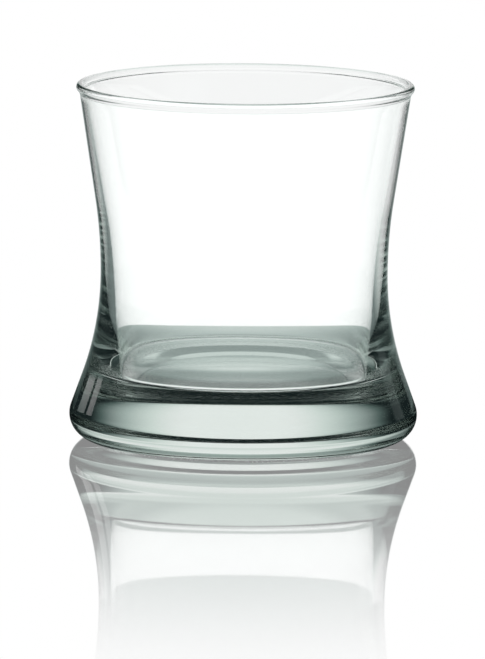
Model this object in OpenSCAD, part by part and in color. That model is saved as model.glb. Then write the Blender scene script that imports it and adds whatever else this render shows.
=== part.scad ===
// Whiskey tumbler: a waisted rocks glass with a thick base, a rolled foot and a
// fire-polished rim. It is one piece of soda-lime glass, so the model is one node:
// an outer form, less the bowl and the shallow hollow under the base, turned about Z.
// The origin is the middle of the resting plane, and +Z runs up the axis.

/* [Overall] */
// Height from the resting plane to the top of the rim
height = 88; // [84:0.5:92]
// Largest diameter, low on the base
base_d = 85.6; // [82:0.2:89]
// Smallest outer diameter, at the waist
waist_d = 70.6; // [68:0.2:73]
// Height of the waist above the resting plane
waist_z = 41.2; // [38:0.2:44]

/* [Outer form] */
// Radius of the roll that joins the flank to the foot
roll_r = 6.2; // [5:0.1:8]
// Radius of the hollow flank below the waist
flank_r = 75; // [70:1:90]
// Radius of the hollow wall above the waist
shoulder_r = 120; // [100:1:150]
// Outward slope of the straight wall that runs up to the rim
flare = 0.153; // [0.14:0.001:0.16]

/* [Bowl] */
// Thickness of the solid glass under the bowl
sham = 15.3; // [12:0.1:18]
// Radius of the corner between the bowl's floor and its wall
corner_r = 1; // [0.6:0.1:4]
// Inner radius of the bowl at the height of the waist, where its two wall lines cross
bowl_r = 32.2; // [31.6:0.1:32.3]
// Outward slope of the bowl's wall below the waist
lower_draft = 0.008; // [0.002:0.001:0.03]
// Outward slope of the bowl's wall above the waist
upper_draft = 0.182; // [0.180:0.001:0.184]
// Height above the waist at which the two wall lines cross
knee_rise = 4.4; // [3:0.1:6]
// Radius that blends the two wall lines
knee_r = 150; // [100:1:200]

/* [Rim] */
// Thickness of the rounded bead at the rim
bead_d = 2; // [1.9:0.05:2.4]
// How far the bead stands proud of the outer wall
bead_swell = 0.65; // [0.5:0.05:0.8]

/* [Underside] */
// Diameter of the shallow hollow under the base
hollow_d = 64; // [56:1:68]
// Depth of that hollow at the axis
hollow_h = 1; // [0.5:0.1:2]

/* [Hidden] */
$fn = 180;
clearance = 1;
bead_r = bead_d / 2;

// Points are [distance from the axis, height].
roll_c = [base_d / 2 - roll_r, roll_r];
flank_c = [waist_d / 2 + flank_r, waist_z];
shoulder_c = [waist_d / 2 + shoulder_r, waist_z];

// The flank leaves the roll along the line that touches both circles.
flank_run = flank_c - roll_c;
flank_turn = atan2(flank_run[1], flank_run[0]) - acos((flank_r + roll_r) / norm(flank_run));
flank_normal = [cos(flank_turn), sin(flank_turn)];
roll_top = roll_c + roll_r * flank_normal;
flank_foot = flank_c - flank_r * flank_normal;

// The straight wall touches the shoulder circle where its slope reaches the flare.
flare_angle = atan(flare);
wall_foot = shoulder_c + shoulder_r * [-cos(flare_angle), sin(flare_angle)];
bead_z = height - bead_r;
function wall_at(z) = wall_foot[0] + (z - wall_foot[1]) * flare;

// The bowl's wall is two straight lines that cross at the knee.
knee = [bowl_r + knee_rise * lower_draft, waist_z + knee_rise];
lower_angle = atan(lower_draft);
upper_angle = atan(upper_draft);
knee_reach = knee_r * tan((upper_angle - lower_angle) / 2);
knee_low = knee - knee_reach * [sin(lower_angle), cos(lower_angle)];
knee_high = knee + knee_reach * [sin(upper_angle), cos(upper_angle)];
knee_c = knee_low + knee_r * [cos(lower_angle), -sin(lower_angle)];
function lower_wall_at(z) = knee[0] + (z - knee[1]) * lower_draft;
function upper_wall_at(z) = knee[0] + (z - knee[1]) * upper_draft;

// The floor's corner touches the floor and the lower wall line.
corner_z = sham + corner_r;
corner_c = [lower_wall_at(corner_z) - corner_r / cos(lower_angle), corner_z];
corner_top = corner_c + corner_r * [cos(lower_angle), -sin(lower_angle)];

// The bead sits on the end of the wall and stands proud of it.
bead_c = [wall_at(bead_z) + bead_swell - bead_r, bead_z];

// The hollow under the base is a slice of a sphere.
hollow_r = (pow(hollow_d / 2, 2) + pow(hollow_h, 2)) / (2 * hollow_h);

module disc(centre, radius) {
    translate(centre) circle(r = radius);
}

// Solid half section: rolled foot, hollow flank, waist, hollow shoulder and straight wall
module outer_section() {
    difference() {
        union() {
            polygon([
                [0, 0],
                [roll_c[0], 0],
                roll_top,
                flank_foot,
                [waist_d / 2, waist_z],
                wall_foot,
                [wall_at(bead_z), bead_z],
                [0, bead_z]
            ]);
            disc(roll_c, roll_r);
        }
        disc(flank_c, flank_r);
        intersection() {
            disc(shoulder_c, shoulder_r);
            translate([0, waist_z]) square([base_d, height]);
        }
    }
}

// Half section of the space inside the bowl, open at the top
module bowl_section() {
    difference() {
        union() {
            polygon([
                [0, sham],
                [corner_c[0], sham],
                corner_top,
                knee_low,
                knee_high,
                [upper_wall_at(height + clearance), height + clearance],
                [0, height + clearance]
            ]);
            disc(corner_c, corner_r);
        }
        disc(knee_c, knee_r);
    }
}

// Half section of the shallow hollow that leaves the glass resting on a ring
module hollow_section() {
    intersection() {
        disc([0, hollow_h - hollow_r], hollow_r);
        translate([0, -clearance]) square([hollow_d, hollow_h + 2 * clearance]);
    }
}

// The whole glass: outer form less bowl and hollow, with the fire-polished bead on the rim
module tumbler() {
    color([0.80, 0.88, 0.86, 0.45])
    rotate_extrude() {
        difference() {
            outer_section();
            bowl_section();
            hollow_section();
        }
        disc(bead_c, bead_r);
    }
}

tumbler();
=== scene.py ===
# %% [markdown]
# # A whiskey tumbler in clear glass
# A tumbler of this kind is one piece of soda-lime glass: a thick solid base with a rolled
# edge, a waisted wall that flares towards the mouth, and a rim that a flame has rounded.
# Clear glass has hardly any look of its own. What shows is the studio around it, bent by the
# glass, so this lesson has three parts: an exact mesh, a glass material, and a studio that is
# bright behind the glass and dark at its sides.

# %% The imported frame
import math

import bmesh
import bpy
from mathutils import Matrix, Vector


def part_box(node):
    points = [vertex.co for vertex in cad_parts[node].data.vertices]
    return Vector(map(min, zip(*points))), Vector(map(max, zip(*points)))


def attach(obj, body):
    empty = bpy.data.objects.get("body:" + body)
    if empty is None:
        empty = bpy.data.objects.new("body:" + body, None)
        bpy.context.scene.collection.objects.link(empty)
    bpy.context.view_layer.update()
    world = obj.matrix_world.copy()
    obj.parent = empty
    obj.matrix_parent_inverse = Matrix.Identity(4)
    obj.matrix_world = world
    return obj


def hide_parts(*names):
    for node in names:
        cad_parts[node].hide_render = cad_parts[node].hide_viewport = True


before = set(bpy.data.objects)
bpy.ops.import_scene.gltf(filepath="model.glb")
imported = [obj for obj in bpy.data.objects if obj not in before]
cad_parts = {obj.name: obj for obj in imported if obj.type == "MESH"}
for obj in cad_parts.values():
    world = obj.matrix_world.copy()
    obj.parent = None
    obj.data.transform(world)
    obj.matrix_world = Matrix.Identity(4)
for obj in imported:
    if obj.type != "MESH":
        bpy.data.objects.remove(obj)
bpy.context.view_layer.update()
low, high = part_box("tumbler")
print("frame: tumbler is %.1f mm wide and %.1f mm high" % (
    (high.x - low.x) * 1e3, high.z * 1e3))

# %% [markdown]
# ## The section of the glass
# Turned and blown glass is drawn as a section, a line that is later swept round the axis.
# The line starts on the axis under the base, runs out across the shallow hollow and the foot
# ring, up the rolled edge and the waisted wall, over the rim's bead, down inside the bowl and
# back to the axis across the bowl's floor. Each stretch is a straight line or a true arc.
# All sizes are in metres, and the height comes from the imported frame.

# %% Sizes of the section
MM = 0.001
HEIGHT = high.z
ROLL = 6.2 * MM
BASE_RADIUS = 42.8 * MM
WAIST_RADIUS = 35.3 * MM
WAIST_HEIGHT = 41.2 * MM
FLANK = 75 * MM
SHOULDER = 120 * MM
FLARE = 0.153
SHAM = 15.3 * MM
CORNER = 1.0 * MM
LOWER_DRAFT = 0.008
UPPER_DRAFT = 0.182
BOWL_RADIUS = 32.2 * MM
KNEE_RISE = 4.4 * MM
KNEE_RADIUS = BOWL_RADIUS + KNEE_RISE * LOWER_DRAFT
KNEE_HEIGHT = WAIST_HEIGHT + KNEE_RISE
KNEE = 150 * MM
BEAD = 1.0 * MM
BEAD_SWELL = 0.65 * MM
NECK = 2.0 * MM
HOLLOW_RADIUS = 32 * MM
HOLLOW_DEPTH = 1.0 * MM
print("base %.1f mm thick, bowl %.1f mm wide" % (SHAM / MM, 2 * BOWL_RADIUS / MM))


def polar(radius, degrees):
    """A step of that length at that angle in the section's plane, 0 outwards and 90 up."""
    angle = math.radians(degrees)
    return Vector((radius * math.cos(angle), 0, radius * math.sin(angle)))


def angle_of(step):
    """The angle in degrees of a step in the section's plane."""
    return math.degrees(math.atan2(step.z, step.x))


# %% [markdown]
# The stretches have to meet without a kink, because glass shows every kink as a bright line.
# So the points where arcs and lines touch are worked out first: the flank leaves the rolled
# edge along the line that touches both circles, and small arcs join the bead to the wall.

# %% Where the arcs and lines touch
roll_centre = Vector((BASE_RADIUS - ROLL, 0, ROLL))
flank_centre = Vector((WAIST_RADIUS + FLANK, 0, WAIST_HEIGHT))
reach = flank_centre - roll_centre
roll_end = angle_of(reach) - math.degrees(math.acos((FLANK + ROLL) / reach.length))

shoulder_centre = Vector((WAIST_RADIUS + SHOULDER, 0, WAIST_HEIGHT))
flare_angle = math.degrees(math.atan(FLARE))
wall_foot = shoulder_centre + polar(SHOULDER, 180 - flare_angle)
bead_height = HEIGHT - BEAD
wall_at_bead = wall_foot.x + (bead_height - wall_foot.z) * FLARE
bead_centre = Vector((wall_at_bead + BEAD_SWELL - BEAD, 0, bead_height))

upper_angle = math.degrees(math.atan(UPPER_DRAFT))
lower_angle = math.degrees(math.atan(LOWER_DRAFT))
knee_reach = KNEE * math.tan(math.radians((upper_angle - lower_angle) / 2))
knee_point = Vector((KNEE_RADIUS, 0, KNEE_HEIGHT))
knee_high = knee_point + polar(knee_reach, 90 - upper_angle)
knee_centre = knee_high + polar(KNEE, -upper_angle)


def neck_centre(wall_point, wall_angle, side):
    """Centre of the arc that touches the wall's line and the bead. Side is +1 outside the wall."""
    along = polar(1, wall_angle)
    away = Vector((along.z, 0, -along.x)) * side
    gap = (wall_point - bead_centre).dot(away) + NECK
    drop = math.sqrt((NECK + BEAD) ** 2 - gap ** 2)
    return bead_centre + away * gap - along * drop, away


outer_point = Vector((wall_at_bead, 0, bead_height))
outer_neck, outer_away = neck_centre(outer_point, 90 - flare_angle, 1)
inner_at_bead = KNEE_RADIUS + (bead_height - KNEE_HEIGHT) * UPPER_DRAFT
inner_point = Vector((inner_at_bead, 0, bead_height))
inner_neck, inner_away = neck_centre(inner_point, 90 - upper_angle, -1)

corner_height = SHAM + CORNER
corner_wall = KNEE_RADIUS + (corner_height - KNEE_HEIGHT) * LOWER_DRAFT
corner_inset = CORNER / math.cos(math.radians(lower_angle))
corner_centre = Vector((corner_wall - corner_inset, 0, corner_height))
hollow_sphere = (HOLLOW_RADIUS ** 2 + HOLLOW_DEPTH ** 2) / (2 * HOLLOW_DEPTH)
print("wall at the rim %.2f mm, bead centre at %.2f mm" % (
    (wall_at_bead - inner_at_bead) * 1e3, bead_centre.x * 1e3))

# %% [markdown]
# ## Drawing the section by hand
# The pen starts as one point: a plane merged at its centre. A straight stretch is that point
# extruded again and again, and an arc is the same point spun about the arc's centre. Long
# stretches get several points, so that each face's shading follows the true surface closely.

# %% A pen for sections
TURN = 360


class Pen:
    """Draws a chain of edges in the plane y = 0, one stretch after another."""

    def __init__(self, name, at):
        bpy.ops.object.select_all(action="DESELECT")
        bpy.ops.mesh.primitive_plane_add(size=1, location=(0, 0, 0))
        self.piece = bpy.context.object
        self.piece.name = self.piece.data.name = name
        bpy.ops.object.mode_set(mode="EDIT")
        bpy.ops.mesh.select_mode(type="VERT")
        bpy.ops.mesh.select_all(action="SELECT")
        bpy.ops.mesh.merge(type="CENTER")
        bpy.ops.transform.translate(value=at)
        self.at = Vector(at)

    def line(self, to, steps):
        """A straight stretch in equal steps."""
        step = (Vector(to) - self.at) / steps
        for _ in range(steps):
            bpy.ops.mesh.extrude_vertices_move(TRANSFORM_OT_translate={"value": step})
        self.at = Vector(to)

    def arc(self, centre, to_degrees, steps, long_way=False):
        """An arc about a centre, from where the pen is to that angle as seen from the centre."""
        arm = self.at - centre
        turn = (to_degrees - angle_of(arm) + TURN / 2) % TURN - TURN / 2
        if long_way:
            turn -= math.copysign(TURN, turn)
        bpy.ops.mesh.spin(steps=steps, angle=math.radians(abs(turn)), center=centre,
                          axis=(0, math.copysign(1, turn), 0), dupli=False)
        self.at = centre + polar(arm.length, to_degrees)


# %% [markdown]
# Now the pen draws the glass. An arc gets more steps where it turns further, since that is where
# a flat facet would show most: the rolled edge of the base and the bead get the most of all.

# %% The section, from under the base to the bowl's floor
pen = Pen("tumbler_glass", (0, 0, HOLLOW_DEPTH))
hollow_centre = Vector((0, 0, HOLLOW_DEPTH - hollow_sphere))
pen.arc(hollow_centre, math.degrees(math.acos(HOLLOW_RADIUS / hollow_sphere)), steps=22)
pen.line((roll_centre.x, 0, 0), steps=4)
pen.arc(roll_centre, roll_end, steps=40)
pen.line(flank_centre + polar(FLANK, 180 + roll_end), steps=1)
pen.arc(flank_centre, 180, steps=24)
pen.arc(shoulder_centre, 180 - flare_angle, steps=14)
pen.line(outer_neck - outer_away * NECK, steps=18)
pen.arc(outer_neck, angle_of(bead_centre - outer_neck), steps=6)
pen.arc(bead_centre, angle_of(inner_neck - bead_centre), steps=26, long_way=True)
pen.arc(inner_neck, angle_of(-inner_away), steps=6)
pen.line(knee_high, steps=18)
pen.arc(knee_centre, 180 - lower_angle, steps=10)
pen.line(corner_centre + polar(CORNER, -lower_angle), steps=18)
pen.arc(corner_centre, -90, steps=24)
pen.line((0, 0, SHAM), steps=20)
print("the pen ends at %.3f, %.3f mm, after %d points" % (
    pen.at.x * 1e3, pen.at.z * 1e3, len(pen.piece.data.vertices)))

# %% [markdown]
# ## Sweeping the section round
# A full spin turns the line into the glass. Where the line starts and ends on the axis, all the
# copies of its end points fall together, so doubles are merged to close the two poles, and
# after that the normals are made to point outwards. The shading is smooth all over.

# %% The glass
SEGMENTS = 320
DOUBLES = 0.002 * MM
bpy.ops.mesh.select_all(action="SELECT")
bpy.ops.mesh.spin(steps=SEGMENTS, angle=2 * math.pi, center=(0, 0, 0), axis=(0, 0, 1),
                  dupli=False, use_auto_merge=True)
bpy.ops.mesh.select_all(action="SELECT")
bpy.ops.mesh.remove_doubles(threshold=DOUBLES)
bpy.ops.mesh.normals_make_consistent(inside=False)
bpy.ops.object.mode_set(mode="OBJECT")
glass_piece = pen.piece
bpy.ops.object.shade_smooth()


def measure(piece):
    """Prints a piece's size, its triangles, whether it is closed and its volume."""
    mesh = bmesh.new()
    mesh.from_mesh(piece.data)
    loose = sum(1 for edge in mesh.edges if len(edge.link_faces) != 2)
    triangles = sum(len(face.verts) - 2 for face in mesh.faces)
    volume = mesh.calc_volume(signed=True) * 1e6
    mesh.free()
    spans = [[v.co[i] for v in piece.data.vertices] for i in range(3)]
    size = [(max(span) - min(span)) * 1e3 for span in spans]
    print("%s: %.2f x %.2f x %.2f mm, %d triangles, %d open edges, %.1f ml of glass" % (
        piece.name, *size, triangles, loose, volume))


measure(glass_piece)
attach(glass_piece, "root")
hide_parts("tumbler")

# %% [markdown]
# ## Writing node trees as arithmetic
# A material or a world is a tree of nodes. Adding each Math node by hand hides what it computes,
# so a small class wraps a socket, and Python's own operators on it add the nodes. Any other
# node comes from one method, `add`, that sets the node's settings and then fills its sockets.

# %% Sockets that can be added and multiplied


class Wire:
    """The output of a node, with arithmetic."""

    def __init__(self, board, socket):
        self.board = board
        self.socket = socket

    def math(self, operation, *others):
        """A Math node on this wire and the others."""
        return self.board.get("ShaderNodeMath", "Value", {"operation": operation},
                              dict(enumerate((self, *others))))

    def __add__(self, other):
        return self.math("ADD", other)

    def __sub__(self, other):
        return self.math("SUBTRACT", other)

    def __mul__(self, other):
        return self.math("MULTIPLY", other)

    def __truediv__(self, other):
        return self.math("DIVIDE", other)

    def __rsub__(self, other):
        return self.board.number(other).math("SUBTRACT", self)

    __radd__ = __add__
    __rmul__ = __mul__

    def fade(self, start, end):
        """Goes smoothly from 0 where the wire is at start to 1 where it is at end."""
        return self.board.get("ShaderNodeMapRange", "Result", {"interpolation_type": "SMOOTHSTEP"},
                              {"Value": self, "From Min": start, "From Max": end})


class Board:
    """A node tree that nodes are added to."""

    def __init__(self, tree):
        self.tree = tree
        tree.nodes.clear()

    def add(self, kind, settings=None, sockets=None):
        """One node: its settings first, then a value or a wire for each named or numbered socket."""
        node = self.tree.nodes.new(kind)
        for name, value in (settings or {}).items():
            if name == "stops":
                while len(node.color_ramp.elements) < len(value):
                    node.color_ramp.elements.new(0.5)
                for element, (place, colour) in zip(node.color_ramp.elements, value):
                    element.position, element.color = place, colour
            else:
                setattr(node, name, value)
        for name, value in (sockets or {}).items():
            if isinstance(value, Wire):
                self.tree.links.new(value.socket, node.inputs[name])
            else:
                node.inputs[name].default_value = value
        return node

    def get(self, kind, output, settings=None, sockets=None):
        """The wire from one output of a new node."""
        return Wire(self, self.add(kind, settings, sockets).outputs[output])

    def number(self, value):
        """A wire that always carries the same number."""
        return self.get("ShaderNodeMath", "Value", {"operation": "ADD"}, {0: value, 1: 0.0})

    def blend(self, amount, first, second):
        """A colour between two others."""
        return self.get("ShaderNodeMix", 2, {"data_type": "RGBA"}, {0: amount, 6: first, 7: second})

    def noise(self, place, scale, detail=2.0, roughness=0.5):
        """A smooth random value round 0.5."""
        return self.get("ShaderNodeTexNoise", "Fac", None,
                        {"Vector": place, "Scale": scale, "Detail": detail, "Roughness": roughness})


# %% [markdown]
# ## The glass itself
# Soda-lime glass is clear with a little iron in it, so it is faintly grey-green where it is
# thick. That belongs to the volume, not to the surface: absorption is what makes the base
# darker than the thin rim. The surface is fire polished, and what it has of its own is slight:
# the foot ring is rubbed dull by tables, and the bowl's floor is a little uneven where the
# plunger pressed it.

# %% The glass material
GLASS_IOR = 1.52
ABSORPTION_DENSITY = 10.0
ABSORPTION_COLOUR = (0.71, 0.79, 0.745, 1)
TINTS = (0.985, 0.997, 0.992, 1), (0.993, 1.0, 0.998, 1)
RUBBED_FROM = 0.5 * MM
RING_FROM, RING_FULL = 30 * MM, 32.5 * MM
PRESSED_FULL, PRESSED_END = 18 * MM, 26 * MM
UNEVEN = 0.05

glass = bpy.data.materials.new("clear_soda_lime_glass")
glass.use_nodes = True
board = Board(glass.node_tree)
place = board.get("ShaderNodeTexCoord", "Object")
parts = board.add("ShaderNodeSeparateXYZ", None, {0: place})
x, y, z = (Wire(board, parts.outputs[i]) for i in range(3))
radius = (x * x + y * y).math("SQRT")
rubbed = (1 - z.fade(0.1 * MM, RUBBED_FROM)) * radius.fade(RING_FROM, RING_FULL)
scuffs = board.noise(place, 900.0, 4.0).fade(0.35, 0.7)
tint = board.blend(board.noise(place, 18.0), *TINTS)
at_floor = (1 - z.fade(16 * MM, 18 * MM)) * z.fade(11 * MM, 13 * MM)
pressed = at_floor * (1 - radius.fade(PRESSED_FULL, PRESSED_END))
waves = board.noise(place, 45.0, 1.0) * pressed
bump = board.get("ShaderNodeBump", "Normal", None, {
    "Height": waves, "Strength": UNEVEN, "Distance": 1 * MM})
shader = board.add("ShaderNodeBsdfPrincipled", None, {
    "Base Color": tint, "Roughness": rubbed * (0.12 + scuffs * 0.2), "Normal": bump,
    "IOR": GLASS_IOR, "Transmission Weight": 1.0})
body = board.add("ShaderNodeVolumeAbsorption", None,
                 {"Color": ABSORPTION_COLOUR, "Density": ABSORPTION_DENSITY})
board.add("ShaderNodeOutputMaterial", None,
          {"Surface": Wire(board, shader.outputs[0]), "Volume": Wire(board, body.outputs[0])})
glass_piece.data.materials.clear()
glass_piece.data.materials.append(glass)
print("glass: index of refraction %.2f" % GLASS_IOR)

# %% [markdown]
# ## The studio: bright field
# Clear glass is lit from behind. A white wall behind the glass shines through it, and whatever
# stands dark at the two sides draws its edges, because near an edge the glass bends the view
# sideways. So the studio's light is given by direction: bright behind and dark at both sides.
# Seen directly, the wall and the table are plain white from every side.
#
# The light path tells how often a ray has passed through the surface. None means that it only
# glanced off the outside, so it sees the narrow end of the lamp and a window at the left. Two
# means that it crossed solid glass, and four or more that it crossed both walls of the bowl.
# A real studio can't tell these apart. It is done here so that each can be lit by itself: the
# thick base stays dark at its ends, while the thin walls stay clear from every side.

# %% Directions in the studio
DEGREE = math.pi / 180
DARK = 0.008
BRIGHTEST = 1.25
PLAIN_WHITE = (1 / BRIGHTEST, 1 / BRIGHTEST, 1 / BRIGHTEST, 1)
LAMP_COLOURS = [
    (0.0, (0.003, 0.006, 0.007, 1)), (0.104, (0.080, 0.112, 0.106, 1)),
    (0.248, (0.224, 0.264, 0.256, 1)), (0.424, (0.384, 0.440, 0.424, 1)),
    (0.656, (0.632, 0.680, 0.658, 1)), (0.8, (0.8, 0.8, 0.8, 1)), (1.0, (1, 1, 1, 1))]


def light_colour(level):
    """The colour of that much light: the dimmer, the more it turns to the glass's grey-green."""
    return level.board.get("ShaderNodeValToRGB", "Color", {"stops": LAMP_COLOURS},
                           {"Fac": level / BRIGHTEST})


def passes(board):
    """Three wires, each 1 for its kind of ray: glanced off, through solid, through both walls."""
    crossed = board.get("ShaderNodeLightPath", "Transmission Depth")
    glanced = crossed.math("LESS_THAN", 0.5)
    both = crossed.math("GREATER_THAN", 3.5)
    return glanced, 1 - glanced - both, both


def aside(x, y, centre):
    """Degrees that a direction is turned from the centre, itself in degrees right of behind."""
    return (x.math("ARCTAN2", y) / DEGREE - centre).math("ABSOLUTE")


def between(value, start, end, soft):
    """1 between start and end with soft edges, and 0 outside."""
    return value.fade(start - soft, start + soft) * (1 - value.fade(end - soft, end + soft))


LAMP_AT = 1.5
WIDE_LAMP = 1.03
WALL = 1.18
ALL_ROUND = 0.85
SIDE_LAMP = 0.3
FAR_PANE = 0.25

world = bpy.data.worlds.new("studio")
bpy.context.scene.world = world
world.use_nodes = True
world.cycles.sampling_method = "NONE"
sky = Board(world.node_tree)
parts = sky.add("ShaderNodeSeparateXYZ", None, {0: sky.get("ShaderNodeTexCoord", "Generated")})
x, y, z = (Wire(sky, parts.outputs[i]) for i in range(3))
rise = z.math("ARCSINE") / DEGREE
turned = x.math("ARCTAN2", y) / DEGREE
glanced, solid, both = passes(sky)

off = aside(x, y, LAMP_AT)
lamp_end = 1 - off.fade(5, 12)
below_lintel = 1 - rise.fade(28, 34)
above_sill = (rise + turned * 0.3).fade(-8.0, -6.5) * below_lintel
near_panes = between(turned, -46, -34, 0.7) * 1.1 + between(turned, -56.5, -49.5, 0.6) * 1.4
far_pane = between(turned, 44, 57, 2.0) * rise.fade(1, 4) * below_lintel * FAR_PANE
window = near_panes * above_sill + far_pane

# %% [markdown]
# Through solid glass the lamp is wide and soft, with a dim lamp low at each side. Through both
# walls the whole wall behind shines, with a darker slot high up that draws a line across the
# bowl's floor, and from other sides a little less light comes from all round.

# %% Light through the glass
wide_lamp = (1 - off.fade(8, 50)) * (1 - rise.fade(38, 43)) * WIDE_LAMP
side_lamps = (between(turned, -103, -77, 7) + between(turned, 120, 150, 8)) * SIDE_LAMP
wide_lamp = wide_lamp + side_lamps * (1 - rise.fade(8, 16))
slot = (1 - rise.fade(40, 52) * 0.38) * (1 - between(rise, 57, 62, 0.8) * 0.7)
low_sky = 1 - (1 - off.fade(18, 32)) * (1 - rise.fade(12, 20)) * 0.5
behind = (1 - off.fade(40, 58)) * (1 - rise.fade(71, 76)) * slot * low_sky * WALL
all_round = (1 - rise.fade(22, 34)) * off.fade(50, 66) * ALL_ROUND
whole_wall = behind.math("MAXIMUM", all_round)
level = glanced * (lamp_end + window) + solid * wide_lamp + both * whole_wall
print("studio: lamp %.2f, wall %.2f, all round %.2f, dark %.3f" % (
    WIDE_LAMP, WALL, ALL_ROUND, DARK))

# %% [markdown]
# The camera's own rays see plain white, and so do rays that the table's mirror sends out. The
# mirror keeps only part of the light, so its rays get that much more to come out as white again.

# %% What shows as background
path = sky.add("ShaderNodeLightPath")
camera_ray, bounced, sharp = (
    Wire(sky, path.outputs[name]) for name in ("Is Camera Ray", "Is Reflection Ray", "Is Singular Ray"))
MIRROR = 0.9
in_mirror = bounced * (1 - sharp) * glanced
plain = camera_ray.math("MAXIMUM", in_mirror)
shown = sky.blend(plain, light_colour(level + DARK), PLAIN_WHITE)
strength = (1 + in_mirror * (1 / MIRROR - 1)) * BRIGHTEST
shine = sky.add("ShaderNodeBackground", None, {"Color": shown, "Strength": strength})
sky.add("ShaderNodeOutputWorld", None, {"Surface": Wire(sky, shine.outputs[0])})

# %% [markdown]
# ## The table
# The table is glossy white. Near the glass it mirrors it strongly, and the mirror image fades
# towards the front. Light that comes up through the glass from the table was gathered there by
# the glass itself, so it is given by place. Through the solid base the table shows in rings.

# %% The table
TABLE_SIZE = 24
TABLE_GAP = 0.05 * MM
RINGS_END = 400
RINGS_AT = 8
RINGS = [
    (0.0, (0.04, 0.04, 0.04, 1)), (0.11, (0.04, 0.04, 0.04, 1)), (0.118, (0.12, 0.12, 0.12, 1)),
    (0.128, (0.35, 0.35, 0.35, 1)), (0.15, (0.5, 0.5, 0.5, 1)), (0.16, (0.65, 0.65, 0.65, 1)),
    (0.185, (0.6, 0.6, 0.6, 1)), (0.21, (0.8, 0.8, 0.8, 1)), (0.3, (0.8, 0.8, 0.8, 1)),
    (0.44, (0.95, 0.95, 0.95, 1)), (1.0, (1, 1, 1, 1))]
bpy.ops.object.select_all(action="DESELECT")
bpy.ops.mesh.primitive_plane_add(size=TABLE_SIZE, location=(0, 0, -TABLE_GAP))
table = bpy.context.object
table.name = "table"
gloss = bpy.data.materials.new("glossy_white_table")
gloss.use_nodes = True
gloss.cycles.emission_sampling = "NONE"
board = Board(gloss.node_tree)
parts = board.add("ShaderNodeSeparateXYZ", None, {0: board.get("ShaderNodeTexCoord", "Object")})
x, y = (Wire(board, parts.outputs[i]) / MM for i in range(2))
distance = (x * x + y * y).math("SQRT")
glanced, solid, both = passes(board)


def pool(x, y, wide, deep):
    """A soft round patch of light."""
    across, along = x / wide, y / deep
    return (across * across + along * along).math("MULTIPLY", -1.0).math("EXPONENT")


off, off_right = aside(x, y, LAMP_AT), aside(x, y, RINGS_AT)
rings = board.get("ShaderNodeValToRGB", "Color", {"stops": RINGS}, {"Fac": distance / RINGS_END})
ring_front = between(y, -41, -30, 1) * (1 - x.math("ABSOLUTE").fade(20, 38)) * 0.8
round_table = (1 - off_right.fade(28, 56)).math("MAXIMUM", distance.fade(46, 70) * 0.3)
through_base = ring_front + rings * round_table + pool(x - 6, y - 37, 10, 7) * 0.6
print("table: %d rings of light out to %d mm" % (len(RINGS), RINGS_END))

# %% [markdown]
# Through both walls the eye meets the table under the bowl first. There the light falls off
# towards the front, up to a bright line along the front edge of the bowl's floor. Then come a
# ring of painted shade round the foot, whose far side bends a little, and the bright table further
# back.

# %% Light from the table through both walls
FLOOR_BEND = 0.0125
RING_BEND = 0.0045
FAR_TABLE = 1.21
arc = y - x * x * FLOOR_BEND
front_line = between(arc, -17.4, -14.6, 0.5) * (1 - x.math("ABSOLUTE").fade(26, 36))
under_bowl = arc.fade(-10.5, -6) * 0.22 + arc.fade(-2, 8) * 0.46 + 0.04
under_bowl = pool(x, y * 0, 34, 1) * under_bowl * (1 - y.fade(32, 42) * 0.2) + front_line
under_bowl = under_bowl + pool(x + 5, y - 5, 22, 2.2) * 0.25
# Painted shade: a grey ring on the table round the foot, where the glass's base shades it.
painted_shade_ring = (1 - off.fade(20, 60) * 0.3) * (0.42 + distance.fade(62, 80) * 0.24)
far_table = (1 + off.fade(10, 36) * 0.35) * FAR_TABLE - off.fade(42, 60) * 0.7
past_foot = distance.fade(40, 46)
past_ring = (distance + (x - 2) * (x - 2) * RING_BEND).fade(79.6, 81.4)
on_ring = past_foot * (1 - past_ring)
through_walls = under_bowl * (1 - past_foot) + painted_shade_ring * on_ring + far_table * past_ring
glimpse = (1 - off.fade(10, 34)) * distance.fade(80, 160) * 0.45
level = glanced * glimpse + solid * through_base + both * through_walls + DARK
print("table: far side %.2f, dark %.3f" % (FAR_TABLE, DARK))

# %% [markdown]
# Only the camera sees the mirror. Every other ray sees the table's light alone, so that light
# doesn't bounce between the table and the glass for ever.

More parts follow.
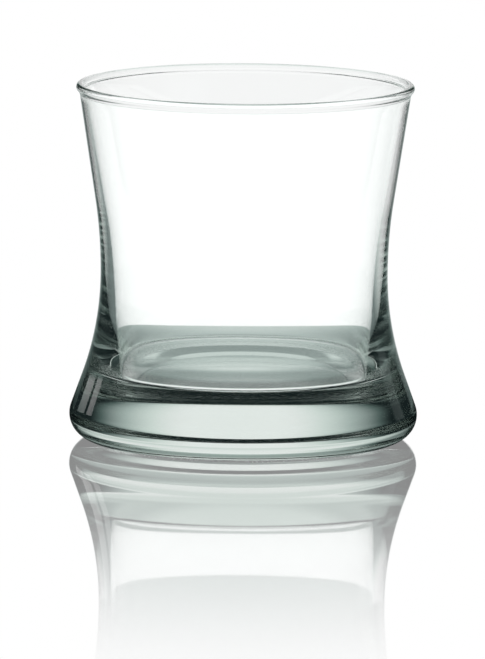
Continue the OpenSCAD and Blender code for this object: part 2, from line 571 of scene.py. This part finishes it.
# %% The table's surface
MIRROR_SHARE = 0.75
MIRROR_FADE = 70, 400
MIRROR_BLUR = 0.02
seen = board.get("ShaderNodeLightPath", "Is Camera Ray")
shown = board.blend(seen, light_colour(level), PLAIN_WHITE)
white = board.add("ShaderNodeEmission", None, {"Color": shown, "Strength": BRIGHTEST})
mirror = board.add("ShaderNodeBsdfGlossy", None, {
    "Color": (MIRROR, MIRROR, MIRROR, 1), "Roughness": MIRROR_BLUR})
share = MIRROR_SHARE * (1 - distance.fade(*MIRROR_FADE)) * seen
mixed = board.add("ShaderNodeMixShader", None, {
    0: share, 1: Wire(board, white.outputs[0]), 2: Wire(board, mirror.outputs[0])})
board.add("ShaderNodeOutputMaterial", None, {"Surface": Wire(board, mixed.outputs[0])})
table.data.materials.append(gloss)

# %% [markdown]
# ## The camera
# The camera stands well back and looks slightly down, with a long lens, so the glass is drawn
# almost without perspective. A ray may pass many times through the glass before it gets out, so
# the render allows more bounces than usual.

# %% The camera
CAMERA_DISTANCE = 3.184
CAMERA_PITCH = 8.158
AIM_HEIGHT = 0.02698
CAMERA_LEFT = -0.3 * MM
CAMERA_ROLL = 0.43
LENS = 706.83
SENSOR = 36

pitch = math.radians(CAMERA_PITCH)
camera = bpy.data.objects.new("camera", bpy.data.cameras.new("camera"))
bpy.context.scene.collection.objects.link(camera)
back, up = CAMERA_DISTANCE * math.cos(pitch), CAMERA_DISTANCE * math.sin(pitch)
camera.location = (CAMERA_LEFT, -back, AIM_HEIGHT + up)
tilt = Matrix.Rotation(math.pi / 2 - pitch, 3, "X")
roll = Matrix.Rotation(math.radians(CAMERA_ROLL), 3, "Z")
camera.rotation_euler = (tilt @ roll).to_euler()
camera.data.lens = LENS
camera.data.sensor_width = SENSOR
camera.data.clip_start = 0.1
camera.data.clip_end = 100
bpy.context.scene.camera = camera
bpy.context.scene.view_settings.view_transform = "Standard"
cycles = bpy.context.scene.cycles
cycles.max_bounces = 32
cycles.glossy_bounces = 24
cycles.transmission_bounces = 24
print("camera: %.2f m away, looking %.1f degrees down" % (CAMERA_DISTANCE, CAMERA_PITCH))
